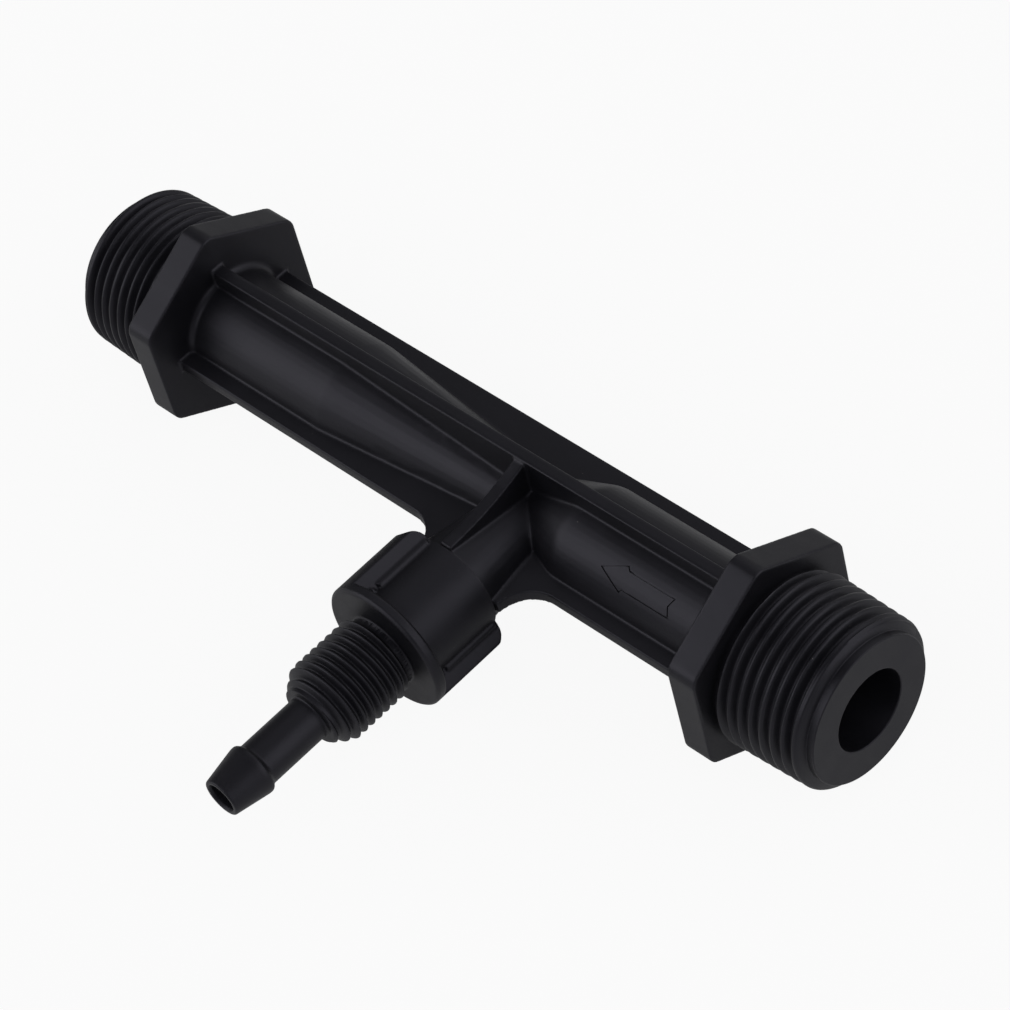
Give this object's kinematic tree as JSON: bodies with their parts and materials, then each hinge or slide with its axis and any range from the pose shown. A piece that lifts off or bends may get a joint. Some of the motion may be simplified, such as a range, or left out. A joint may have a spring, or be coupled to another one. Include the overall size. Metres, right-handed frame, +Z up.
{
  "type": "venturi fertilizer injector",
  "caption": "Ribbed venturi tube with hexagonal flanges, male pipe ends and a winged, barbed suction cap on its side branch; it draws liquid fertilizer into an irrigation line.",
  "frame": {"origin": "centre of the inlet's end face, on the axis of the venturi tube", "axes": "+X along the tube's axis and out of the inlet, so that water flows along -X; the suction branch points to -Y; +Z up, through a corner of each hexagonal flange"},
  "size_m": [0.1454, 0.0768, 0.0336],
  "materials": {
    "body_plastic": "satin black moulding",
    "cap_plastic": "satin black moulding",
    "seal_rubber": "dull black rubber",
    "ball_plastic": "polished off-white",
    "spring_steel": "bright drawn wire"
  },
  "bodies": {
    "injector_body": {"injector_body": "body_plastic", "check_spring": "spring_steel"},
    "cap_seal": {"cap_seal": "seal_rubber"},
    "suction_cap": {"suction_cap": "cap_plastic"},
    "check_ball": {"check_ball": "ball_plastic"}
  },
  "joints": [
    {"name": "cap_travel", "type": "slide", "parent": "injector_body", "child": "cap_seal", "axis": [0, -1, 0], "range_m": [0, 0.00801]},
    {"name": "cap_turn", "type": "hinge", "parent": "cap_seal", "child": "suction_cap", "pos_m": [-0.0609, -0.01665, 0], "axis": [0, -1, 0], "range_deg": [0, 1440]},
    {"name": "ball_lift", "type": "slide", "parent": "suction_cap", "child": "check_ball", "axis": [0, 1, 0], "range_m": [0, 0.0025], "stiffness_N_per_m": 10, "springref_m": -0.01, "deforming": ["check_spring"]}
  ],
  "couplings": [
    {"joint": "cap_travel", "follows": "cap_turn", "m_per_rad": 0.00031831}
  ]
}
